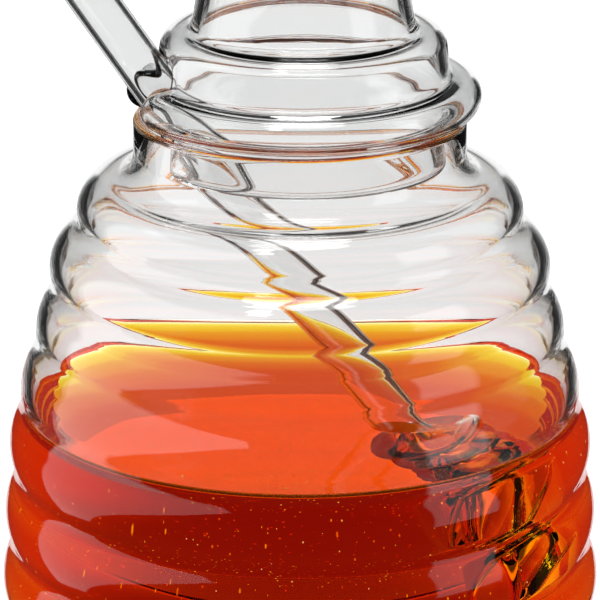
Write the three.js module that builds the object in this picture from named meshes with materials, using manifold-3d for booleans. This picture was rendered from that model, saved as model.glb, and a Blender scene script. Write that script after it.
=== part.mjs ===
// A beehive honey pot in clear glass: a jar stepped like a straw hive, a hollow blown lid that sits in
// its neck, a ringed dipper that leans out through the notch in the lid, and the honey.
// Millimetres, +Z up. The origin is the centre of the flat base, and the front of the pot faces -Y.

import * as THREE from 'three';
import { mergeVertices } from 'three/addons/utils/BufferGeometryUtils.js';
import Module from 'manifold-3d';

const wasm = await Module();
wasm.setup();

// Jar: the grooves between its bulges, from the lowest up, with how far the bulge above each stands
// out. Above the last one the shoulder is an arc about its own centre, and it flares into the neck.
const GROOVES = [
  { radius: 50.1, height: 12.0, bulge: 2.33 },
  { radius: 50.22, height: 24.8, bulge: 2.03 },
  { radius: 49.26, height: 37.7, bulge: 1.99 },
  { radius: 48.28, height: 49.6, bulge: 1.48 },
  { radius: 45.42, height: 60.8, bulge: 1.59 },
  { radius: 42.27, height: 71.2, bulge: 2.84 },
  { radius: 37.78, height: 82.1 },
];
const SHOULDER_CENTRE = new THREE.Vector2(32.2, 84.8);
const NECK_FLARE = 4;
const BASE_EDGE = new THREE.Vector2(44.8, 0);
const FOOT_BULGE = 4.2;
const JAR_WALL = 1.9;
const JAR_FLOOR = 3.4;
const NECK_RADIUS = 28.5;
const RIM_TOP = 101.5;
const JAR_SIDES = 40;
const BULGE_STEPS = 4;
const ROUND_STEPS = 6;
const INNER_STEPS = 3;

// Honey: its level, and the gap that parts it from the glass
const HONEY_LEVEL = 49;
const FIT_GAP = 0.3;

// Lid, measured from its own axis, which stands a little to the right of the jar's
const LID_OFFSET = 0.6;
const LID_WALL = 1.5;
const FLANGE_WALL = 1;
const STOPPER_RADIUS = 24.7;
const STOPPER_BOTTOM = 93.3;
const FLANGE_RADIUS = 30.5;
const FLANGE_HEIGHT = 6.7;
const FLANGE_BOTTOM = RIM_TOP + FIT_GAP;
const TIER_RADIUS = 24.7;
const TIER_ROUNDING = 4.2;
const TIER_TOP = 117;
const KNOB_RADIUS = 18.8;
const KNOB_HEIGHT = 21;
const KNOB_WAIST = 16;
const LID_SIDES = 36;

// Notch: an arch cut through the lid's wall for the dipper, wider where it parts the flange
const NOTCH_DIRECTION = THREE.MathUtils.degToRad(191);
const NOTCH_WIDTH = 10.8;
const NOTCH_TOP = 114;
const NOTCH_START = 14;
const FLANGE_CUT_WIDTH = 14;
const FLANGE_CUT_TOP = 118;
const FLANGE_CUT_START = 26.2;
const CUTTER_LENGTH = 40;
const ARCH_STEPS = 10;

// Dipper: its axis runs through a point at the honey's surface and one in the notch
const DIPPER_AT_HONEY = new THREE.Vector3(17.2, -11, HONEY_LEVEL);
const DIPPER_IN_NOTCH = new THREE.Vector3(-21.8, -5, 104);
const SHAFT_RADIUS = 4;
const DIPPER_LENGTH = 160;
const LENGTH_IN_HONEY = 36;
const RING_COUNT = 5;
const RING_PITCH = 6;
const RING_RADIUS = 12;
const END_RING_RADIUS = 10;
const END_RING_HEIGHT = 5;
const RING_CORE = 6;
const RING_EDGE = 2.2;
const RING_CHAMFER = 1;
const RING_SLOPE = 0.8;
const DIPPER_SIDES = 20;

const GLASS = { color: 0xf4f8f8, roughness: 0.03, metalness: 0, transparent: true, opacity: 0.35 };
const HONEY = { color: 0xd8560c, roughness: 0.08, metalness: 0 };

// Points along an arc, both ends included
function arc(centre, radius, start, end, steps) {
  const points = [];
  for (let i = 0; i <= steps; i += 1) {
    const angle = start + ((end - start) * i) / steps;
    points.push(new THREE.Vector2(
      centre.x + radius * Math.cos(angle),
      centre.y + radius * Math.sin(angle),
    ));
  }
  return points;
}

// The circle that stands out by a given bulge between a lower and an upper point of an outline
function circleBetween(low, high, bulge) {
  const chord = high.clone().sub(low);
  const half = chord.length() / 2;
  const radius = (half * half + bulge * bulge) / (2 * bulge);
  const outward = new THREE.Vector2(chord.y, -chord.x).normalize();
  const centre = low.clone().lerp(high, 0.5).addScaledVector(outward, bulge - radius);
  const start = Math.atan2(low.y - centre.y, low.x - centre.x);
  const end = Math.atan2(high.y - centre.y, high.x - centre.x);
  return { centre, radius, start, end };
}

// The shoulder's circle, and the hollow one that leads from it into the neck
function shoulderAndFlare(groove) {
  const centre = SHOULDER_CENTRE;
  const radius = centre.distanceTo(groove);
  const across = NECK_RADIUS + NECK_FLARE - centre.x;
  const rise = Math.sqrt((radius + NECK_FLARE) ** 2 - across ** 2);
  const start = Math.atan2(groove.y - centre.y, groove.x - centre.x);
  const end = Math.atan2(rise, across);
  return {
    shoulderCircle: { centre, radius, start, end },
    flareCircle: {
      centre: centre.clone().add(new THREE.Vector2(across, rise)),
      radius: NECK_FLARE,
      start: end - Math.PI,
      end: -Math.PI,
    },
  };
}

// The same bulge moved inwards by a wall's thickness
function bulgeArc(circle, inset, steps) {
  return arc(circle.centre, circle.radius - inset, circle.start, circle.end, steps);
}

// A closed solid of revolution about +Z from an outline given from the bottom outwards and up
function turned(outline, sides) {
  const points = outline.filter((point, i) => i === 0 || point.distanceTo(outline[i - 1]) > 0.01);
  const geometry = new THREE.LatheGeometry(points, sides);
  geometry.rotateX(Math.PI / 2);
  return geometry;
}

function toManifold(geometry) {
  const bare = geometry.clone();
  bare.deleteAttribute('normal');
  bare.deleteAttribute('uv');
  const merged = mergeVertices(bare, 1e-4);
  return new wasm.Manifold(new wasm.Mesh({
    numProp: 3,
    vertProperties: new Float32Array(merged.attributes.position.array),
    triVerts: new Uint32Array(merged.index.array),
  }));
}

function toGeometry(solid) {
  const mesh = solid.getMesh();
  const geometry = new THREE.BufferGeometry();
  geometry.setAttribute('position', new THREE.BufferAttribute(mesh.vertProperties, mesh.numProp));
  geometry.setIndex(new THREE.BufferAttribute(mesh.triVerts, 1));
  geometry.computeVertexNormals();
  return geometry;
}

const grooves = GROOVES.map(({ radius, height }) => new THREE.Vector2(radius, height));
const footCircle = circleBetween(BASE_EDGE, grooves[0], FOOT_BULGE);
const bulgeCircles = grooves.slice(1).map((above, i) => (
  circleBetween(grooves[i], above, GROOVES[i].bulge)
));
const { shoulderCircle, flareCircle } = shoulderAndFlare(grooves.at(-1));

// The jar's outside from the middle of the base up to the rim's outer edge
function jarOutside() {
  const sides = bulgeCircles.flatMap((circle) => bulgeArc(circle, 0, BULGE_STEPS));
  return [
    new THREE.Vector2(0, 0),
    ...bulgeArc(footCircle, 0, ROUND_STEPS),
    ...sides,
    ...bulgeArc(shoulderCircle, 0, ROUND_STEPS),
    ...bulgeArc(flareCircle, 0, BULGE_STEPS),
  ];
}

// The foot's inner side, from where it leaves a floor of the given height
function footInside(inset, floor) {
  const { centre, radius, end } = footCircle;
  const start = Math.asin((floor - centre.y) / (radius - inset));
  return arc(centre, radius - inset, start, end, INNER_STEPS);
}

// The side of the jar's hollow above the foot, for the bulges whose tops lie within a height
function bulgesInside(inset, height) {
  const within = bulgeCircles.filter((_, i) => grooves[i + 1].y <= height);
  return within.flatMap((circle) => bulgeArc(circle, inset, INNER_STEPS));
}

function makeJar() {
  const lipRadius = JAR_WALL / 2;
  const lipCentre = new THREE.Vector2(NECK_RADIUS - lipRadius, RIM_TOP - lipRadius);
  const inside = [
    new THREE.Vector2(0, JAR_FLOOR),
    ...footInside(JAR_WALL, JAR_FLOOR),
    ...bulgesInside(JAR_WALL, RIM_TOP),
    ...bulgeArc(shoulderCircle, JAR_WALL, BULGE_STEPS),
    ...bulgeArc(flareCircle, -JAR_WALL, INNER_STEPS),
  ];
  const outline = [
    ...jarOutside(),
    ...arc(lipCentre, lipRadius, 0, Math.PI, BULGE_STEPS),
    ...inside.reverse(),
  ];
  return turned(outline, JAR_SIDES);
}

// One ring's outline, from the groove below it to the groove above it
function ringOutline(radius, height, grow) {
  const half = RING_EDGE / 2 + grow;
  const core = RING_CORE + grow;
  const edge = radius + grow;
  return [
    new THREE.Vector2(core, height - half - RING_SLOPE),
    new THREE.Vector2(edge - RING_CHAMFER, height - half),
    new THREE.Vector2(edge, height - half / 2),
    new THREE.Vector2(edge, height + half / 2),
    new THREE.Vector2(edge - RING_CHAMFER, height + half),
    new THREE.Vector2(core, height + half + RING_SLOPE),
  ];
}

// The outline of the dipper from its lower end up: a blunt tip, rings on a core, then the shaft
function dipperOutline(grow) {
  const endRing = ringOutline(END_RING_RADIUS, END_RING_HEIGHT, grow).slice(1);
  const rings = [];
  for (let i = 1; i < RING_COUNT; i += 1) {
    rings.push(...ringOutline(RING_RADIUS, END_RING_HEIGHT + i * RING_PITCH, grow));
  }
  const shaftStart = END_RING_HEIGHT + RING_COUNT * RING_PITCH + grow;
  const shaftEnd = new THREE.Vector2(0, DIPPER_LENGTH - SHAFT_RADIUS);
  return [
    new THREE.Vector2(0, -grow),
    ...endRing,
    ...rings,
    new THREE.Vector2(SHAFT_RADIUS + grow, shaftStart),
    ...arc(shaftEnd, SHAFT_RADIUS + grow, 0, Math.PI / 2, INNER_STEPS),
  ];
}

// Sets an object made about +Z at the dipper's place in the pot
function placeDipper(object) {
  const along = DIPPER_IN_NOTCH.clone().sub(DIPPER_AT_HONEY).normalize();
  object.position.copy(DIPPER_AT_HONEY).addScaledVector(along, -LENGTH_IN_HONEY);
  object.quaternion.setFromUnitVectors(new THREE.Vector3(0, 0, 1), along);
  object.updateMatrix();
  return object;
}

function makeHoney() {
  const inset = JAR_WALL + FIT_GAP;
  const floor = JAR_FLOOR + FIT_GAP;
  const lowerGroove = bulgeArc(bulgeCircles[2], inset, 1)[1];
  const upperGroove = bulgeArc(bulgeCircles[3], inset, 1)[0];
  const share = (HONEY_LEVEL - lowerGroove.y) / (upperGroove.y - lowerGroove.y);
  const outline = [
    new THREE.Vector2(0, floor),
    ...footInside(inset, floor),
    ...bulgesInside(inset, grooves[3].y),
    lowerGroove.clone().lerp(upperGroove, share),
    new THREE.Vector2(0, HONEY_LEVEL),
  ];
  const body = toManifold(turned(outline, JAR_SIDES));
  const roomForDipper = turned(dipperOutline(FIT_GAP), DIPPER_SIDES);
  roomForDipper.applyMatrix4(placeDipper(new THREE.Object3D()).matrix);
  return toGeometry(body.subtract(toManifold(roomForDipper)));
}

// Half of the flange's rounded outline, moved inwards by an inset
function flangeArc(inset, steps) {
  const rounding = FLANGE_HEIGHT / 2;
  const centre = new THREE.Vector2(FLANGE_RADIUS - rounding, FLANGE_BOTTOM + rounding);
  return arc(centre, rounding - inset, -Math.PI / 2, Math.PI / 2, steps);
}

// The rounding between the tier's side and its top, moved inwards by an inset
function tierArc(inset, steps) {
  const centre = new THREE.Vector2(TIER_RADIUS - TIER_ROUNDING, TIER_TOP - TIER_ROUNDING);
  return arc(centre, TIER_ROUNDING - inset, 0, Math.PI / 2, steps);
}

// The knob's dome from its foot to the middle of its top, moved inwards by an inset
function knobArc(inset, steps) {
  const unit = arc(new THREE.Vector2(), 1, 0, Math.PI / 2, steps);
  const size = new THREE.Vector2(KNOB_RADIUS - inset, KNOB_HEIGHT - inset);
  const foot = new THREE.Vector2(0, TIER_TOP);
  return unit.map((point) => point.multiply(size).add(foot));
}

// The blown lid's outside from the stopper's wall to the middle of the knob's top
function lidOutside() {
  return [
    new THREE.Vector2(STOPPER_RADIUS, FLANGE_BOTTOM),
    ...flangeArc(0, ROUND_STEPS),
    new THREE.Vector2(TIER_RADIUS, FLANGE_BOTTOM + FLANGE_HEIGHT),
    ...tierArc(0, INNER_STEPS),
    ...knobArc(0, ROUND_STEPS),
  ];
}

// The lid's hollow, from the stopper's wall through the flange and tier into the knob
function lidInside() {
  return [
    new THREE.Vector2(STOPPER_RADIUS - LID_WALL, FLANGE_BOTTOM + FLANGE_WALL),
    ...flangeArc(FLANGE_WALL, INNER_STEPS),
    new THREE.Vector2(TIER_RADIUS - LID_WALL, FLANGE_BOTTOM + FLANGE_HEIGHT - FLANGE_WALL),
    ...tierArc(LID_WALL, INNER_STEPS - 1),
    new THREE.Vector2(KNOB_WAIST, TIER_TOP - LID_WALL),
    new THREE.Vector2(KNOB_WAIST, TIER_TOP),
    ...knobArc(LID_WALL, ROUND_STEPS - 1).slice(1),
  ];
}

// A block with an arched top that stands on the base plane and runs outwards from a radius
function archCutter(width, top, start) {
  const radius = width / 2;
  const shape = new THREE.Shape();
  shape.moveTo(-radius, STOPPER_BOTTOM - LID_WALL);
  shape.lineTo(radius, STOPPER_BOTTOM - LID_WALL);
  shape.absarc(0, top - radius, radius, 0, Math.PI, false);
  shape.closePath();
  const geometry = new THREE.ExtrudeGeometry(shape, {
    depth: CUTTER_LENGTH,
    bevelEnabled: false,
    curveSegments: ARCH_STEPS,
  });
  geometry.translate(0, 0, start);
  geometry.rotateX(Math.PI / 2);
  geometry.rotateZ(NOTCH_DIRECTION + Math.PI / 2);
  return toManifold(geometry);
}

function makeLid() {
  const lip = arc(
    new THREE.Vector2(STOPPER_RADIUS - LID_WALL / 2, STOPPER_BOTTOM + LID_WALL / 2),
    LID_WALL / 2, -Math.PI, 0, 2,
  );
  const outline = [...lip, ...lidOutside(), ...lidInside().reverse(), lip[0].clone()];
  const shell = toManifold(turned(outline, LID_SIDES));
  const notch = archCutter(NOTCH_WIDTH, NOTCH_TOP, NOTCH_START);
  const flangeCut = archCutter(FLANGE_CUT_WIDTH, FLANGE_CUT_TOP, FLANGE_CUT_START);
  return toGeometry(shell.subtract(notch).subtract(flangeCut));
}

function addPiece(parent, name, geometry, finish) {
  const mesh = new THREE.Mesh(geometry, new THREE.MeshStandardMaterial(finish));
  mesh.name = name;
  parent.add(mesh);
  return mesh;
}

const pot = new THREE.Group();
addPiece(pot, 'jar', makeJar(), GLASS);
addPiece(pot, 'honey', makeHoney(), HONEY);
addPiece(pot, 'lid', makeLid(), GLASS).position.x = LID_OFFSET;
placeDipper(addPiece(pot, 'dipper', turned(dipperOutline(0), DIPPER_SIDES), GLASS));

export default pot;
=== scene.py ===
"""Looks of a beehive honey pot: clear stepped glass, blown lid, ringed dipper, amber honey, bubbles."""

import math
import random

import bmesh
import bpy
from mathutils import Matrix, Vector


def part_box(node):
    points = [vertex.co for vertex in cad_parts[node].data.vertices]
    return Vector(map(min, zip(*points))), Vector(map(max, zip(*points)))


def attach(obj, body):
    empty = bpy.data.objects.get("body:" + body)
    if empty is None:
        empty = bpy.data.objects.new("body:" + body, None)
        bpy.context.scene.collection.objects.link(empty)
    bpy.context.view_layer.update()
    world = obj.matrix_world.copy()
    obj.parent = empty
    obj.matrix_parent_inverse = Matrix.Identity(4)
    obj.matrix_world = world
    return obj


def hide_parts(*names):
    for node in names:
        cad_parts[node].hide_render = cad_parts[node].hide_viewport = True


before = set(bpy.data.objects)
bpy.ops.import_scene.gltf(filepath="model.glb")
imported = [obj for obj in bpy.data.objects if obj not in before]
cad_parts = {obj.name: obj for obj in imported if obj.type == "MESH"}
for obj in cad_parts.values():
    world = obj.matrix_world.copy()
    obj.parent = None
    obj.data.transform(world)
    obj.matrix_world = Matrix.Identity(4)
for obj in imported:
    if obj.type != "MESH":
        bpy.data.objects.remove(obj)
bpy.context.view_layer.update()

bl_info = {
    "name": "Beehive Honey Pot",
    "version": (1, 0, 0),
    "blender": (4, 5, 0),
    "location": "3D View > Sidebar > Honey Pot",
    "description": "Builds a glass honey pot stepped like a straw hive, with its lid, dipper and honey",
    "category": "Object",
}

MM = 0.001
FULL_TURN = 2 * math.pi
MERGE_DISTANCE = 1e-7

# Jar, in mm. Each groove has its radius, its height and how far the bulge above it stands out, from
# the lowest up. The shoulder above the last one is an arc about its own centre.
BASE_MARKS = (0.0, 20.0, 36.0, 42.0)
BASE_EDGE = (44.8, 0.0)
FOOT_BULGE = 4.2
GROOVES = (
    (50.1, 12.0, 2.33),
    (50.22, 24.8, 2.03),
    (49.26, 37.7, 1.99),
    (48.28, 49.6, 1.48),
    (45.42, 60.8, 1.59),
    (42.27, 71.2, 2.84),
    (37.78, 82.1, None),
)
SHOULDER_CENTRE = Vector((32.2, 84.8))
NECK_RADIUS = 28.5
RIM_TOP = 101.5
JAR_FLOOR = 3.4
FLOOR_EDGE_RISE = 0.1
FLOOR_MARKS = (3.0, 0.5)
JAR_STEPS = 144
ARC_STEPS = 16
CORNER_STEPS = 6

# Honey, in mm: distances from its edge at which its climb up the glass has points, how fast that climb
# fades, marks on the level part, how far it reaches into the dipper, and the depth of its top skin
CLIMB_MARKS = (0, 0.15, 0.35, 0.6, 0.9, 1.3, 1.8, 2.4, 3.2, 4.2, 6.0)
CLIMB_FADE = 0.9
LEVEL_MARKS = (12, 24)
GRIP_ON_DIPPER = 0.12
TOP_SKIN = 0.3
HONEY_SHARP_FROM = math.radians(40)

# Bubbles in the honey, in mm: their radii, and how far they keep from what bounds the honey
BUBBLE_SIZES = (0.07, 0.09, 0.11, 0.14, 0.17)
BUBBLE_SPREAD = (0.8, 1.2)
BUBBLE_ABOVE_FLOOR = 2
BUBBLE_BELOW_LEVEL = 1
BUBBLE_OFF_WALL = 1.2
BUBBLE_OFF_DIPPER = 1
BUBBLE_SEED = 11

# Lid about its own axis, in mm
LID_OFFSET = 0.6
STOPPER_RADIUS = 24.7
STOPPER_BOTTOM = 93.3
STOPPER_RISES = (0.3, 2.2, 4.4, 6.6, 8.0)
FLANGE_RADIUS = 30.5
FLANGE_HEIGHT = 6.7
FLANGE_BOTTOM = 101.8
TIER_RADIUS = 24.7
TIER_FOOT = (0.3, 0.1)
TIER_MARKS = (109.6, 111.5)
TIER_ROUNDING = 4.2
TIER_TURN_IN = math.radians(15)
TIER_TOP = 117.0
KNOB_RADIUS = 18.8
KNOB_FOOT = 0.35
KNOB_HEIGHT = 21.0
KNOB_STEPS = 13
KNOB_CAP = 0.8
UPPER_WALL_SHARE = 0.65
LID_STEPS = 54
NOTCH_TURN = math.radians(191)
NOTCH_STEPS = 4
NOTCH_TOP = 114.2
NOTCH_CORNER = 111.5

# Dipper along its axis, in mm. Its head narrows into the shaft by radii at heights above the top ring.
DIPPER_AT_HONEY = Vector((17.2, -11.0, 49.0))
DIPPER_IN_NOTCH = Vector((-21.8, -5.0, 104.0))
DIPPER_ALONG = (DIPPER_IN_NOTCH - DIPPER_AT_HONEY).normalized()
DIPPER_LENGTH = 159.95
LENGTH_IN_HONEY = 36.0
HEAD_BELOW_LEVEL = 3
SHAFT_RADIUS = 3.97
RING_COUNT = 5
RING_PITCH = 6.0
RING_RADIUS = 12.0
END_RING_RADIUS = 10.0
END_RING_HEIGHT = 5.0
RING_CORE = 6.0
RING_ROUNDING = 1.1
RING_HOLLOW = 1.15
HEAD_NECK = ((RING_CORE, 1.9), (5.0, 3.2), (4.3, 4.8), (SHAFT_RADIUS, 6.5))
DIPPER_STEPS = 64

# Finishes. Glass and honey have one refractive index, so that light passes unbent where they touch.
REFRACTION = 1.47
WAVE_STRETCH = (1, 1, 0.45)
SMEAR_SCALE = 90
SMEAR_ROUGHNESS = 0.012
SWIRL_SCALE = 60
SWIRL_DEPTH = 0.15 * MM

# The photograph's camera: its distance from the point it aims at, and its height angle
AIM = Vector((0.0, 0.0, 0.068))
CAMERA_DISTANCE = 0.648
CAMERA_ANGLE = math.radians(18.58)
CAMERA_LENS = 224.43
CAMERA_NEAR = 0.01
SENSOR_WIDTH = 36.0

# The pale floor, and the lamp high above it
FLOOR_SIZE = 4.0
FLOOR_GLOW = 0.75
LAMP_HEIGHT = 1.1
LAMP_SIZE = 0.5
LAMP_POWER = 4.0

# The light plate under the pot, which is dim from above and shines at low angles
PLATE_RADIUS = 0.05
PLATE_HEIGHT = -0.0005
PLATE_LIGHT = 1.9
PLATE_SHINE = (0.3, 0.5)
PLATE_DIM_SHARE = 0.08

# The glowing card in the jar's back wall, which is dimmer head-on than for slanted rays
CARD_BOTTOM = 0.7
CARD_TURN = math.radians(130)
CARD_STEPS = 64
CARD_LIGHT = 1.25
CARD_HEAD_ON_LIGHT = 0.55
CARD_SHINE = (0.08, 0.24)

# Surroundings, in degrees to each side of straight behind the pot and above the horizon: the white
# backdrop's edge, its edge between dark flags, the heights where those begin, and the dark room above
BACKDROP_EDGE = 23
FLAG_EDGE = 16
FLAG_RISE = (-16.5, -15.0)
BACKDROP_LIGHT = 0.92
BACKDROP_BLUR = 3
ROOM_START = 10
ROOM_END = 50
ROOM_SHADE = 0.85
ROOM_BLUR = 5
DIM_LIGHT = 0.02

# Soft lights: each one's strength, its left and right edge from behind the pot to its right with how
# far that edge slants per degree of height, and its heights
SOFT_LIGHTS = (
    (1.2, (-116, 1.05), (-64, 0), (-32, 45)),
    (1.2, (100, 0), (127, 0), (-10, 28)),
    (12.0, (-158, 0), (-146, 0), (56, 64)),
)
LIGHT_BLUR = 2


class PotSizes(bpy.types.PropertyGroup):
    """Sizes that change the glass and what it holds."""

    jar_wall: bpy.props.FloatProperty(
        name="Jar wall",
        description="Thickness of the jar's glass",
        default=1.9 * MM,
        unit="LENGTH",
    )
    groove_rounding: bpy.props.FloatProperty(
        name="Groove rounding",
        description="Distance from a groove at which the bulges begin to flow into each other",
        default=2.3 * MM,
        unit="LENGTH",
    )
    neck_flare: bpy.props.FloatProperty(
        name="Neck flare",
        description="Radius of the hollow curve that leads from the shoulder into the neck",
        default=4.0 * MM,
        unit="LENGTH",
    )
    honey_level: bpy.props.FloatProperty(
        name="Honey level",
        description="Height of the honey's surface above the base",
        default=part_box("honey")[1].z,
        unit="LENGTH",
    )
    honey_reach: bpy.props.FloatProperty(
        name="Honey reach",
        description="How far the honey reaches into the glass so that no air shows between them",
        default=0.2 * MM,
        unit="LENGTH",
    )
    honey_climb: bpy.props.FloatProperty(
        name="Honey climb",
        description="How far the honey climbs the glass at its edge",
        default=0.5 * MM,
        unit="LENGTH",
    )
    dipper_wall: bpy.props.FloatProperty(
        name="Dipper wall",
        description="Thickness of the blown dipper",
        default=0.85 * MM,
        unit="LENGTH",
    )
    lid_wall: bpy.props.FloatProperty(
        name="Lid wall",
        description="Thickness of the blown lid",
        default=1.5 * MM,
        unit="LENGTH",
    )
    bubble_count: bpy.props.IntProperty(
        name="Bubbles",
        description="Number of fine bubbles in the honey",
        default=1800,
    )


class PotColours(bpy.types.PropertyGroup):
    """Colours of the glass, the honey and the floor."""

    glass: bpy.props.FloatVectorProperty(
        name="Glass",
        description="Faint tint of the clear glass",
        default=(0.985, 0.99, 0.988),
        subtype="COLOR",
    )
    honey: bpy.props.FloatVectorProperty(
        name="Honey",
        description="Colour that the honey lets through",
        default=(0.9922, 0.951, 0.65),
        subtype="COLOR",
    )
    honey_depth: bpy.props.FloatProperty(
        name="Honey depth",
        description="How strongly each metre of honey darkens",
        default=1000.0,
    )
    floor: bpy.props.FloatVectorProperty(
        name="Floor",
        description="Pale floor under the pot",
        default=(0.93, 0.93, 0.93),
        subtype="COLOR",
    )


def arc(centre, radius, start, end, steps):
    """Points along an arc, both ends included."""
    angles = (start + (end - start) * i / steps for i in range(steps + 1))
    return [Vector(centre) + radius * Vector((math.cos(a), math.sin(a))) for a in angles]


def circle_between(low, high, bulge):
    """Centre, radius and end angles of the circle that bulges out between two outline points."""
    low, high = Vector(low), Vector(high)
    chord = high - low
    half = chord.length / 2
    radius = (half * half + bulge * bulge) / (2 * bulge)
    outward = Vector((chord.y, -chord.x)).normalized()
    centre = (low + high) / 2 + outward * (bulge - radius)
    start = math.atan2(low.y - centre.y, low.x - centre.x)
    end = math.atan2(high.y - centre.y, high.x - centre.x)
    return centre, radius, start, end


def bulge_arc(low, high, bulge, steps=ARC_STEPS):
    """The bulging arc between two outline points."""
    return arc(*circle_between(low, high, bulge), steps)


def joined(first, *others):
    """Curves joined to one outline; each further one comes with the rounding where it starts."""
    outline = list(first)
    for curve, rounding in others:
        corner = curve[0]
        while (outline[-1] - corner).length < rounding:
            outline.pop()
        rest = [point for point in curve if (point - corner).length >= rounding]
        before, after = outline[-1], rest[0]
        for step in range(1, CORNER_STEPS):
            t = step / CORNER_STEPS
            outline.append((1 - t) ** 2 * before + 2 * t * (1 - t) * corner + t * t * after)
        outline += rest
    return outline


def moved_in(outline, distance):
    """A rising outline moved inwards along its normals."""
    moved = []
    for i, point in enumerate(outline):
        along = outline[min(i + 1, len(outline) - 1)] - outline[max(i - 1, 0)]
        moved.append(point + distance * Vector((-along.y, along.x)).normalized())
    return moved


def radius_at(outline, height):
    """The radius at which a rising outline passes a height."""
    for low, high in zip(outline, outline[1:]):
        if low.y <= height < high.y:
            return low.x + (high.x - low.x) * (height - low.y) / (high.y - low.y)
    raise ValueError(f"the outline doesn't pass {height}")


def shoulder_and_flare(groove, flare):
    """The arc of the shoulder above a groove, and the hollow one from it into the neck, in mm."""
    radius = (groove - SHOULDER_CENTRE).length
    across = NECK_RADIUS + flare - SHOULDER_CENTRE.x
    rise = math.sqrt((radius + flare) ** 2 - across ** 2)
    start = math.atan2(groove.y - SHOULDER_CENTRE.y, groove.x - SHOULDER_CENTRE.x)
    end = math.atan2(rise, across)
    shoulder = arc(SHOULDER_CENTRE, radius, start, end, ARC_STEPS)
    flare_centre = SHOULDER_CENTRE + Vector((across, rise))
    return shoulder, arc(flare_centre, flare, end - math.pi, -math.pi, ARC_STEPS)


def jar_side(sizes):
    """The outside of the jar from the edge of its base up the neck, in mm."""
    marks = [Vector((radius, height)) for radius, height, _ in GROOVES]
    rounding = sizes.groove_rounding / MM
    bulges = [
        (bulge_arc(low, high, bulge), rounding)
        for (_, _, bulge), low, high in zip(GROOVES, marks, marks[1:])
    ]
    shoulder, flare = shoulder_and_flare(marks[-1], sizes.neck_flare / MM)
    foot = bulge_arc(Vector(BASE_EDGE), marks[0], FOOT_BULGE)
    return joined(foot, *bulges, (shoulder, rounding)) + flare[1:]


def jar_inside(sizes, reach=0.0):
    """The inside of the jar from the middle of its floor up the neck, moved into the glass, in mm."""
    floor = JAR_FLOOR - reach
    side = moved_in(jar_side(sizes), sizes.jar_wall / MM - reach)
    start = floor + FLOOR_EDGE_RISE
    edge = Vector((radius_at(side, start), start))
    marks = [Vector((edge.x - inward, floor)) for inward in FLOOR_MARKS]
    return [Vector((0, floor)), *marks, edge] + [point for point in side if point.y > start]


def jar_outline(sizes):
    """The jar's whole outline from the middle of its base round the rim to the middle of its floor."""
    wall = sizes.jar_wall / MM
    lip = arc((NECK_RADIUS - wall / 2, RIM_TOP - wall / 2), wall / 2, 0, math.pi, ARC_STEPS)
    base = [Vector((radius, 0)) for radius in BASE_MARKS]
    return base + jar_side(sizes) + lip + jar_inside(sizes)[::-1]


def swept(outline, steps, start=0.0, turn=FULL_TURN):
    """A bmesh of an outline in mm, spun about the Z axis from a start angle."""
    bm = bmesh.new()
    verts = [bm.verts.new((point.x * MM, 0, point.y * MM)) for point in outline]
    edges = [bm.edges.new(pair) for pair in zip(verts, verts[1:])]
    bm.transform(Matrix.Rotation(start, 4, "Z"))
    bmesh.ops.spin(
        bm, geom=verts + edges, cent=(0, 0, 0), axis=(0, 0, 1), dvec=(0, 0, 0),
        angle=turn, steps=steps, use_merge=turn == FULL_TURN, use_duplicate=False,
    )
    return bm


def turned(outline, steps):
    """A bmesh of an outline in mm, spun a full turn about the Z axis, with its poles closed."""
    bm = swept(outline, steps)
    bmesh.ops.remove_doubles(bm, verts=bm.verts, dist=MERGE_DISTANCE)
    bmesh.ops.recalc_face_normals(bm, faces=bm.faces)
    return bm


def make_object(name, bm, smooth_below=None):
    """A new object at the origin from a bmesh, smooth but for the edges past an angle."""
    mesh = bpy.data.meshes.new(name)
    bm.to_mesh(mesh)
    bm.free()
    piece = bpy.data.objects.new(name, mesh)
    bpy.context.scene.collection.objects.link(piece)
    finish_shading(mesh, smooth_below)
    return piece


def finish_shading(mesh, smooth_below):
    """Smooth faces, with sharp edges where faces meet past an angle."""
    mesh.shade_smooth()
    if smooth_below is not None:
        mesh.set_sharp_from_angle(angle=smooth_below)


def mark_wetted(piece, is_wetted):
    """Store on each face whether honey and glass touch there, so that light passes it unbent."""
    marks = piece.data.attributes.new("wetted", "FLOAT", "FACE")
    for face, mark in zip(piece.data.polygons, marks.data):
        mark.value = float(is_wetted(face.center, face.normal))


def apply_modifiers(piece, smooth_below=None):
    """Replace a piece's mesh by what its modifiers make of it."""
    depsgraph = bpy.context.evaluated_depsgraph_get()
    mesh = bpy.data.meshes.new_from_object(piece.evaluated_get(depsgraph))
    piece.modifiers.clear()
    old = piece.data
    piece.data = mesh
    bpy.data.meshes.remove(old)
    finish_shading(mesh, smooth_below)


def settle(piece, slot, material, *nodes):
    """Give a piece its material and its body, and hide the solids that it stands for; the slot is not
    used.
    """
    piece.data.materials.clear()
    piece.data.materials.append(material)
    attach(piece, "root")
    if nodes:
        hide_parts(*nodes)


class Value:
    """A number from a socket; arithmetic on it adds Math nodes."""

    def __init__(self, shader, socket):
        self.shader = shader
        self.socket = socket

    def __add__(self, other):
        return self.shader.math("ADD", self, other)

    def __radd__(self, other):
        return self.shader.math("ADD", other, self)

    def __sub__(self, other):
        return self.shader.math("SUBTRACT", self, other)

    def __rsub__(self, other):
        return self.shader.math("SUBTRACT", other, self)

    def __mul__(self, other):
        return self.shader.math("MULTIPLY", self, other)

    def __rmul__(self, other):
        return self.shader.math("MULTIPLY", other, self)

    def __abs__(self):
        return self.shader.math("ABSOLUTE", self)


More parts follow.
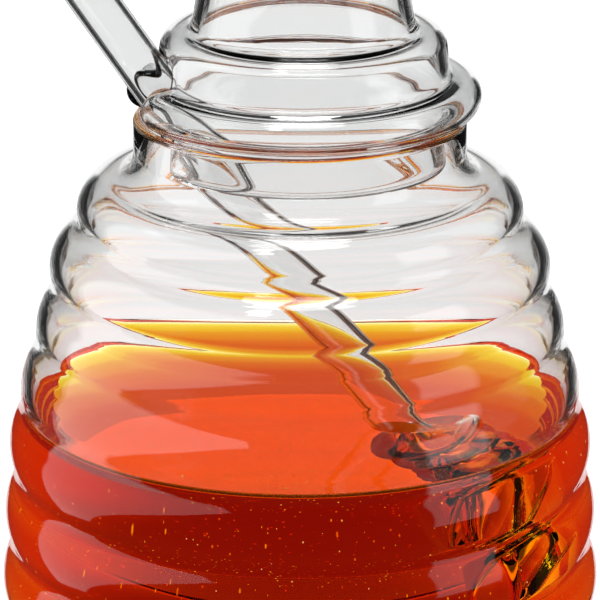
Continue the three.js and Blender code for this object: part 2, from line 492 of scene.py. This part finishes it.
class Shader:
    """A material's or world's node tree, built one node at a time."""

    def __init__(self, owner):
        owner.use_nodes = True
        self.tree = owner.node_tree
        self.tree.nodes.clear()

    def node(self, kind, settings=None, inputs=None):
        """Add a node of a type with its settings, then the values or links of its sockets."""
        node = self.tree.nodes.new(kind)
        for name, value in (settings or {}).items():
            setattr(node, name, value)
        for name, value in (inputs or {}).items():
            if isinstance(value, Value):
                value = value.socket
            if isinstance(value, bpy.types.NodeSocket):
                self.tree.links.new(value, node.inputs[name])
            else:
                node.inputs[name].default_value = value
        return node

    def value(self, socket):
        """A socket's number for use in expressions."""
        return Value(self, socket)

    def math(self, operation, *operands):
        """The result of a Math node's operation on values and numbers."""
        node = self.node("ShaderNodeMath", {"operation": operation}, dict(enumerate(operands)))
        return self.value(node.outputs[0])

    def smooth_step(self, value, start, end, first, last):
        """One value up to a start, another from an end on, and a smooth step between them."""
        node = self.node("ShaderNodeMapRange", {"interpolation_type": "SMOOTHSTEP"}, {
            "Value": value, "From Min": start, "From Max": end, "To Min": first, "To Max": last,
        })
        return self.value(node.outputs["Result"])

    def window(self, value, low, high, blur):
        """One between two bounds and none beyond them, with soft edges."""
        rise = self.smooth_step(value, low - blur, low, 0.0, 1.0)
        return rise * self.smooth_step(value, high, high + blur, 1.0, 0.0)

    def place(self):
        """The place on the piece, from the pot's own origin."""
        return self.node("ShaderNodeTexCoord").outputs["Object"]

    def bump(self, height, depth):
        """The normal of a surface with a relief of a depth."""
        node = self.node("ShaderNodeBump", inputs={"Height": height, "Distance": depth, "Strength": 1})
        return node.outputs["Normal"]

    def slant(self, **inputs):
        """How slanted a ray meets the surface: none head-on, and one along it."""
        node = self.node("ShaderNodeLayerWeight", inputs={"Blend": 0.5, **inputs})
        return node.outputs["Facing"]

    def glow(self, colour, strength):
        """A surface that gives off light."""
        node = self.node("ShaderNodeEmission", inputs={"Color": colour, "Strength": strength})
        return node.outputs["Emission"]

    def partly_clear(self, surface, share):
        """A surface that lets a share of the light pass straight through."""
        clear = self.node("ShaderNodeBsdfTransparent").outputs["BSDF"]
        mixed = self.node("ShaderNodeMixShader", inputs={"Fac": share, 1: surface, 2: clear})
        return mixed.outputs["Shader"]

    def unless_wetted(self, surface):
        """A surface where air is, and none where honey and glass touch."""
        wetted = self.node("ShaderNodeAttribute", {"attribute_name": "wetted"}).outputs["Fac"]
        return self.partly_clear(surface, wetted)

    def finish(self, surface, **others):
        """End the material with its surface, and its volume if it has one."""
        self.node("ShaderNodeOutputMaterial", inputs={"Surface": surface, **others})


def glass_material(name, colour, wave_size, wave_depth):
    """Clear glass with the faint waves of a pressed or blown surface and a trace of handling."""
    material = bpy.data.materials.new(name)
    shader = Shader(material)
    place = shader.place()
    stretched = shader.node("ShaderNodeMapping", inputs={"Vector": place, "Scale": WAVE_STRETCH})
    waves = shader.node("ShaderNodeTexNoise", inputs={
        "Vector": stretched.outputs["Vector"], "Scale": 1 / wave_size, "Detail": 1.5, "Roughness": 0.4,
    })
    smears = shader.node("ShaderNodeTexNoise", inputs={
        "Vector": place, "Scale": SMEAR_SCALE, "Detail": 3,
    })
    surface = shader.node("ShaderNodeBsdfPrincipled", inputs={
        "Base Color": (*colour, 1),
        "Roughness": shader.value(smears.outputs["Fac"]) * SMEAR_ROUGHNESS,
        "IOR": REFRACTION,
        "Transmission Weight": 1,
        "Normal": shader.bump(waves.outputs["Fac"], wave_depth),
    })
    shader.finish(shader.unless_wetted(surface.outputs["BSDF"]))
    return material


def honey_material(colours):
    """Clear amber liquid that reddens with depth, with a slow swirl in its surface."""
    material = bpy.data.materials.new("amber_honey")
    shader = Shader(material)
    swirl = shader.node("ShaderNodeTexNoise", inputs={
        "Vector": shader.place(), "Scale": SWIRL_SCALE, "Detail": 1, "Distortion": 0.6,
    })
    surface = shader.node("ShaderNodeBsdfPrincipled", inputs={
        "Base Color": (1, 0.995, 0.98, 1),
        "Roughness": 0.0,
        "IOR": REFRACTION,
        "Transmission Weight": 1,
        "Normal": shader.bump(swirl.outputs["Fac"], SWIRL_DEPTH),
    })
    depth = shader.node("ShaderNodeVolumeAbsorption", inputs={
        "Color": (*colours.honey, 1), "Density": colours.honey_depth,
    })
    shader.finish(shader.unless_wetted(surface.outputs["BSDF"]), Volume=depth.outputs["Volume"])
    return material


def bubble_material():
    """The inside of an air bubble in honey, which mirrors light at its rim, with a faint warm glow as a
    painted glint.
    """
    material = bpy.data.materials.new("air_in_honey_painted_glint")
    shader = Shader(material)
    surface = shader.node("ShaderNodeBsdfPrincipled", inputs={
        "Base Color": (1.0, 0.93, 0.8, 1),
        "Roughness": 0.0,
        "IOR": 1 / REFRACTION,
        "Transmission Weight": 1,
        # Painted glint: a faint warm glow, so that each bubble shows as a light speck
        "Emission Color": (1.0, 0.72, 0.6, 1),
        "Emission Strength": 0.35,
    })
    shader.finish(surface.outputs["BSDF"])
    return material


class POT_OT_stage(bpy.types.Operator):
    """Make the camera, the floor, the lights under, in and over the pot, and the surroundings"""

    bl_idname = "pot.stage"
    bl_label = "Stage"

    def execute(self, context):
        scene = context.scene
        make_camera(scene)
        make_floor(scene.pot_colours)
        make_light_plate()
        make_lamp(scene)
        make_glow_card(scene.pot_sizes)
        make_surroundings(scene)
        return {"FINISHED"}


def make_camera(scene):
    """The camera at the photograph's distance and angle."""
    data = bpy.data.cameras.new("photo_camera")
    data.lens = CAMERA_LENS
    data.sensor_width = SENSOR_WIDTH
    data.clip_start = CAMERA_NEAR
    camera = bpy.data.objects.new("photo_camera", data)
    back = Vector((0, -math.cos(CAMERA_ANGLE), math.sin(CAMERA_ANGLE)))
    camera.location = AIM + CAMERA_DISTANCE * back
    camera.rotation_euler = (math.pi / 2 - CAMERA_ANGLE, 0, 0)
    scene.collection.objects.link(camera)
    scene.camera = camera


def stage_piece(name, bm, material, unseen_by=()):
    """Add a piece that lights or carries the pot and isn't part of it, unseen by some kinds of ray."""
    piece = make_object(name, bm)
    for ray in unseen_by:
        setattr(piece, f"visible_{ray}", False)
    piece.data.materials.append(material)


def make_floor(colours):
    """A wide pale floor, which glass and honey don't mirror."""
    bm = bmesh.new()
    bmesh.ops.create_grid(bm, x_segments=1, y_segments=1, size=FLOOR_SIZE)
    material = bpy.data.materials.new("pale_floor")
    shader = Shader(material)
    surface = shader.node("ShaderNodeBsdfPrincipled", inputs={
        "Base Color": (*colours.floor, 1),
        "Roughness": 0.6,
        "Specular IOR Level": 0.0,
        "Emission Color": (1, 1, 1, 1),
        "Emission Strength": FLOOR_GLOW,
    })
    shader.finish(surface.outputs["BSDF"])
    stage_piece("floor", bm, material, unseen_by=("transmission", "glossy"))


def make_light_plate():
    """A light plate under the pot, which lights the honey through the base."""
    bm = bmesh.new()
    bmesh.ops.create_circle(bm, cap_ends=True, segments=64, radius=PLATE_RADIUS)
    bm.transform(Matrix.Translation((0, 0, PLATE_HEIGHT)))
    material = bpy.data.materials.new("glowing_plate")
    shader = Shader(material)
    shine = shader.smooth_step(shader.slant(), *PLATE_SHINE, PLATE_DIM_SHARE, 1.0)
    shader.finish(shader.glow(shine, PLATE_LIGHT))
    stage_piece("light_plate", bm, material)


def make_lamp(scene):
    """A soft lamp high above the pot."""
    data = bpy.data.lights.new("soft_lamp", "AREA")
    data.shape = "DISK"
    data.size = LAMP_SIZE
    data.energy = LAMP_POWER
    lamp = bpy.data.objects.new("soft_lamp", data)
    lamp.location = (0.0, 0.0, LAMP_HEIGHT)
    scene.collection.objects.link(lamp)


def make_glow_card(sizes):
    """A card let into the jar's back wall, which lights the honey; from outside it doesn't show."""
    side = moved_in(jar_side(sizes), sizes.jar_wall / MM / 2)
    top = honey_contact(sizes)
    line = [point for point in side if CARD_BOTTOM < point.y < top]
    bm = swept(line, CARD_STEPS, start=(math.pi - CARD_TURN) / 2, turn=CARD_TURN)
    bm.normal_update()
    outward = [face for face in bm.faces if face.normal.xy.dot(face.calc_center_median().xy) > 0]
    bmesh.ops.reverse_faces(bm, faces=outward)
    material = bpy.data.materials.new("glowing_card")
    shader = Shader(material)
    level = shader.node("ShaderNodeVectorMath", {"operation": "MULTIPLY"}, {
        0: shader.place(), 1: (1, 1, 0),
    })
    aside = shader.node("ShaderNodeVectorMath", {"operation": "NORMALIZE"}, {
        0: level.outputs["Vector"],
    })
    slant = shader.slant(Normal=aside.outputs["Vector"])
    light = shader.smooth_step(slant, *CARD_SHINE, CARD_HEAD_ON_LIGHT, CARD_LIGHT)
    outside = shader.node("ShaderNodeNewGeometry").outputs["Backfacing"]
    shader.finish(shader.partly_clear(shader.glow(light, 1), outside))
    stage_piece("glow_card", bm, material, unseen_by=("camera", "shadow"))


def make_surroundings(scene):
    """A white backdrop behind the pot, and a dark room round it with soft lights."""
    world = bpy.data.worlds.new("surroundings")
    scene.world = world
    shader = Shader(world)
    view = shader.node("ShaderNodeTexCoord").outputs["Generated"]
    parts = shader.node("ShaderNodeSeparateXYZ", inputs={0: view})
    x, y, z = (shader.value(parts.outputs[name]) for name in "XYZ")
    turn = shader.math("ARCTAN2", x, y) * (180 / math.pi)
    rise = shader.math("ARCSINE", z) * (180 / math.pi)
    flags = shader.smooth_step(rise, *FLAG_RISE, 0.0, BACKDROP_EDGE - FLAG_EDGE)
    start = BACKDROP_EDGE - BACKDROP_BLUR
    backdrop = shader.smooth_step(abs(turn) + flags, start, BACKDROP_EDGE, BACKDROP_LIGHT, 0.0)
    room = shader.window(rise, ROOM_START, ROOM_END, ROOM_BLUR) * ROOM_SHADE
    light = backdrop * (1 - room) + DIM_LIGHT
    for level, (left, left_slant), (right, right_slant), (low, high) in SOFT_LIGHTS:
        from_left = shader.smooth_step(turn + rise * left_slant, left - LIGHT_BLUR, left, 0.0, 1.0)
        to_right = shader.smooth_step(turn + rise * right_slant, right, right + LIGHT_BLUR, 1.0, 0.0)
        light = light + from_left * to_right * shader.window(rise, low, high, LIGHT_BLUR) * level
    glow = shader.node("ShaderNodeBackground", inputs={"Color": (1, 1, 1, 1), "Strength": light})
    shader.node("ShaderNodeOutputWorld", inputs={"Surface": glow.outputs["Background"]})
    scene.view_settings.view_transform = "Standard"
    scene.cycles.max_bounces = 22
    scene.cycles.transmission_bounces = 22
    scene.cycles.glossy_bounces = 12
    scene.cycles.transparent_max_bounces = 12


class POT_OT_jar(bpy.types.Operator):
    """Turn the stepped glass jar"""

    bl_idname = "pot.jar"
    bl_label = "Jar"

    def execute(self, context):
        sizes = context.scene.pot_sizes
        jar = make_object("jar_glass", turned(jar_outline(sizes), JAR_STEPS))
        contact = honey_contact(sizes) * MM
        mark_wetted(jar, lambda centre, normal: centre.z < contact and (
            normal.xy.dot(centre.xy) < 0 or normal.z > 0.9
        ))
        material = glass_material(
            "pressed_glass", context.scene.pot_colours.glass, wave_size=14 * MM, wave_depth=0.05 * MM,
        )
        settle(jar, "jar_glass", material, "jar")
        return {"FINISHED"}


def dipper_outline(grow):
    """The dipper's outline from its lower end up, grown by an amount, in mm."""
    points = [Vector((0, -grow))]
    for i in range(RING_COUNT):
        radius = (END_RING_RADIUS if i == 0 else RING_RADIUS) - RING_ROUNDING
        height = END_RING_HEIGHT + i * RING_PITCH
        if i > 0:
            points += groove_arc(height - RING_PITCH / 2, grow)
        points += arc((radius, height), RING_ROUNDING + grow, -math.pi / 2, math.pi / 2, 8)
    top = END_RING_HEIGHT + (RING_COUNT - 1) * RING_PITCH
    points += [Vector((radius + grow, top + rise + grow)) for radius, rise in HEAD_NECK]
    end = (0, DIPPER_LENGTH - SHAFT_RADIUS)
    return points + arc(end, SHAFT_RADIUS + grow, 0, math.pi / 2, ARC_STEPS)


def groove_arc(height, grow):
    """The hollow between two of the dipper's rings."""
    depth = RING_HOLLOW - grow
    return arc((RING_CORE + grow + depth, height), depth, -math.pi / 2, -3 * math.pi / 2, 6)


def faces_away(centre, normal):
    """Whether a face of the dipper at a point in metres faces away from the dipper's axis."""
    point = centre / MM - DIPPER_AT_HONEY
    aside = point - point.dot(DIPPER_ALONG) * DIPPER_ALONG
    return normal.dot(aside) > 0


def stand_dipper(bm):
    """Move a bmesh made about the Z axis to the dipper's place in the pot."""
    turn = Vector((0, 0, 1)).rotation_difference(DIPPER_ALONG).to_matrix().to_4x4()
    start = (DIPPER_AT_HONEY - LENGTH_IN_HONEY * DIPPER_ALONG) * MM
    bm.transform(Matrix.Translation(start) @ turn)
    return bm


def hollow_dipper(wall):
    """A bmesh of the blown dipper with its hollow, standing in the pot."""
    bm = turned(dipper_outline(0.0), DIPPER_STEPS)
    hollow = bmesh.ops.duplicate(bm, geom=bm.verts[:] + bm.edges[:] + bm.faces[:])["geom"]
    bm.normal_update()
    for vertex in (item for item in hollow if isinstance(item, bmesh.types.BMVert)):
        vertex.co -= wall * vertex.normal
    inner_faces = [item for item in hollow if isinstance(item, bmesh.types.BMFace)]
    bmesh.ops.reverse_faces(bm, faces=inner_faces)
    return stand_dipper(bm)


class POT_OT_dipper(bpy.types.Operator):
    """Turn the glass dipper and stand it in the pot"""

    bl_idname = "pot.dipper"
    bl_label = "Dipper"

    def execute(self, context):
        wall = context.scene.pot_sizes.dipper_wall
        dipper = make_object("dipper_glass", hollow_dipper(wall))
        level = context.scene.pot_sizes.honey_level
        mark_wetted(dipper, lambda centre, normal: centre.z < level and faces_away(centre, normal))
        material = glass_material(
            "rod_glass", context.scene.pot_colours.glass, wave_size=9 * MM, wave_depth=0.03 * MM,
        )
        settle(dipper, "dipper_glass", material, "dipper")
        return {"FINISHED"}


def honey_contact(sizes):
    """The height in mm at which the honey's edge ends, on a point of the jar's inside."""
    top = (sizes.honey_level + sizes.honey_climb) / MM
    return min(point.y for point in jar_inside(sizes) if point.y > top)


def honey_outline(sizes):
    """The honey's outline from the middle of its bottom to the middle of its top, in mm."""
    wall = jar_inside(sizes, reach=sizes.honey_reach / MM)
    level = sizes.honey_level / MM
    top = honey_contact(sizes)
    climb = top - level
    edge = radius_at(wall, top)
    outline = [point for point in wall if point.y < top]
    for inward in CLIMB_MARKS:
        outline.append(Vector((edge - inward, level + climb * math.exp(-inward / CLIMB_FADE))))
    return outline + [Vector((edge - inward, level)) for inward in LEVEL_MARKS] + [Vector((0, level))]


class POT_OT_honey(bpy.types.Operator):
    """Fill the pot with honey up to its level, cut round the dipper"""

    bl_idname = "pot.honey"
    bl_label = "Honey"

    def execute(self, context):
        sizes = context.scene.pot_sizes
        honey = make_object("honey_fill", turned(honey_outline(sizes), JAR_STEPS))
        room = stand_dipper(turned(dipper_outline(-GRIP_ON_DIPPER), DIPPER_STEPS))
        cutter = make_object("dipper_room", room)
        cut = honey.modifiers.new("room_for_dipper", "BOOLEAN")
        cut.operation = "DIFFERENCE"
        cut.solver = "EXACT"
        cut.object = cutter
        apply_modifiers(honey, HONEY_SHARP_FROM)
        bpy.data.objects.remove(cutter)
        top = sizes.honey_level - TOP_SKIN * MM
        mark_wetted(honey, lambda centre, normal: centre.z < top or normal.z < 0.1)
        settle(honey, "honey", honey_material(context.scene.pot_colours), "honey")
        return {"FINISHED"}


def lid_outline():
    """The outside of the blown lid from the stopper's lower edge to the knob's middle, in mm."""
    rounding = FLANGE_HEIGHT / 2
    flange_centre = (FLANGE_RADIUS - rounding, FLANGE_BOTTOM + rounding)
    tier_centre = (TIER_RADIUS - TIER_ROUNDING, TIER_TOP - TIER_ROUNDING)
    tier_foot, foot_rise = TIER_FOOT
    points = [Vector((STOPPER_RADIUS, STOPPER_BOTTOM + rise)) for rise in STOPPER_RISES]
    points += arc(flange_centre, rounding, -math.pi / 2, math.pi / 2, 8)
    points += [Vector((TIER_RADIUS + tier_foot, FLANGE_BOTTOM + FLANGE_HEIGHT + foot_rise))]
    points += [Vector((TIER_RADIUS, height)) for height in TIER_MARKS]
    points += arc(tier_centre, TIER_ROUNDING, TIER_TURN_IN, math.pi / 2, 6)
    points += [Vector((KNOB_RADIUS + KNOB_FOOT, TIER_TOP))]
    for step in range(1, KNOB_STEPS):
        angle = step / KNOB_STEPS * math.pi / 2
        points.append(Vector((KNOB_RADIUS * math.cos(angle), TIER_TOP + KNOB_HEIGHT * math.sin(angle))))
    return points + [Vector((radius, TIER_TOP + KNOB_HEIGHT)) for radius in (KNOB_CAP, 0)]


def cut_notch(bm):
    """Delete the faces of the arched notch from the lid's surface, before it gets its wall."""
    step = FULL_TURN / LID_STEPS
    half = NOTCH_STEPS / 2 * step
    doomed = []
    for face in bm.faces:
        middle = face.calc_center_median()
        away = abs(math.atan2(middle.y, middle.x))
        top = NOTCH_TOP if away < half / 2 else NOTCH_CORNER
        if away < half and middle.z < top * MM:
            doomed.append(face)
    bmesh.ops.delete(bm, geom=doomed, context="FACES")


class POT_OT_lid(bpy.types.Operator):
    """Blow the hollow lid, with its notch for the dipper"""

    bl_idname = "pot.lid"
    bl_label = "Lid"

    def execute(self, context):
        sizes = context.scene.pot_sizes
        bm = turned(lid_outline(), LID_STEPS)
        cut_notch(bm)
        bm.transform(Matrix.Translation((LID_OFFSET * MM, 0, 0)) @ Matrix.Rotation(NOTCH_TURN, 4, "Z"))
        bmesh.ops.recalc_face_normals(bm, faces=bm.faces)
        lid = make_object("lid_glass", bm)
        thin = lid.vertex_groups.new(name="wall_share")
        for vertex in lid.data.vertices:
            out = math.hypot(vertex.co.x - LID_OFFSET * MM, vertex.co.y) / MM
            share = UPPER_WALL_SHARE if out > STOPPER_RADIUS + 1 else 1.0
            thin.add([vertex.index], share, "REPLACE")
        wall = lid.modifiers.new("wall", "SOLIDIFY")
        wall.thickness = sizes.lid_wall
        wall.offset = -1
        wall.use_even_offset = True
        wall.vertex_group = thin.name
        rounded = lid.modifiers.new("rounded", "SUBSURF")
        rounded.levels = 2
        rounded.render_levels = 2
        apply_modifiers(lid)
        material = glass_material(
            "blown_glass", context.scene.pot_colours.glass, wave_size=11 * MM, wave_depth=0.06 * MM,
        )
        settle(lid, "lid_glass", material, "lid")
        return {"FINISHED"}


def clear_of_dipper(point):
    """Whether a point in mm lies in the honey beside the dipper."""
    along = (point - DIPPER_AT_HONEY).dot(DIPPER_ALONG)
    aside = (point - DIPPER_AT_HONEY - along * DIPPER_ALONG).length - BUBBLE_OFF_DIPPER
    return aside > RING_RADIUS or (aside > SHAFT_RADIUS and along > -HEAD_BELOW_LEVEL)


class POT_OT_bubbles(bpy.types.Operator):
    """Scatter fine bubbles through the honey"""

    bl_idname = "pot.bubbles"
    bl_label = "Bubbles"

    def execute(self, context):
        sizes = context.scene.pot_sizes
        wall = [point for point in jar_inside(sizes) if point.y > JAR_FLOOR]
        top = sizes.honey_level / MM - BUBBLE_BELOW_LEVEL
        rng = random.Random(BUBBLE_SEED)
        bm = bmesh.new()
        made = 0
        while made < sizes.bubble_count:
            height = rng.uniform(JAR_FLOOR + BUBBLE_ABOVE_FLOOR, top)
            reach = radius_at(wall, height) - BUBBLE_OFF_WALL
            radius = reach * math.sqrt(rng.random())
            turn = rng.uniform(0, FULL_TURN)
            point = Vector((radius * math.cos(turn), radius * math.sin(turn), height))
            if not clear_of_dipper(point):
                continue
            size = rng.choice(BUBBLE_SIZES) * rng.uniform(*BUBBLE_SPREAD)
            matrix = Matrix.Translation(point * MM)
            bmesh.ops.create_icosphere(bm, subdivisions=1, radius=size * MM, matrix=matrix)
            made += 1
        bubbles = make_object("honey_bubbles", bm)
        settle(bubbles, "honey", bubble_material())
        return {"FINISHED"}


class POT_PT_panel(bpy.types.Panel):
    """Sizes, colours and steps of the honey pot"""

    bl_label = "Honey Pot"
    bl_idname = "POT_PT_panel"
    bl_space_type = "VIEW_3D"
    bl_region_type = "UI"
    bl_category = "Honey Pot"

    def draw(self, context):
        for group in (context.scene.pot_sizes, context.scene.pot_colours):
            for name in group.__annotations__:
                self.layout.prop(group, name)
        for step in STEPS:
            self.layout.operator(step.bl_idname)


STEPS = (POT_OT_stage, POT_OT_jar, POT_OT_dipper, POT_OT_honey, POT_OT_lid, POT_OT_bubbles)
CLASSES = (PotSizes, PotColours, *STEPS, POT_PT_panel)


def register():
    """Register the classes and the scene's sizes and colours."""
    for kind in CLASSES:
        bpy.utils.register_class(kind)
    bpy.types.Scene.pot_sizes = bpy.props.PointerProperty(type=PotSizes)
    bpy.types.Scene.pot_colours = bpy.props.PointerProperty(type=PotColours)


def unregister():
    """Undo what register did."""
    del bpy.types.Scene.pot_colours
    del bpy.types.Scene.pot_sizes
    for kind in reversed(CLASSES):
        bpy.utils.unregister_class(kind)


def main():
    """Build every piece in order."""
    register()
    bpy.ops.pot.stage()
    bpy.ops.pot.jar()
    bpy.ops.pot.dipper()
    bpy.ops.pot.honey()
    bpy.ops.pot.lid()
    bpy.ops.pot.bubbles()


if __name__ == "__main__":
    main()
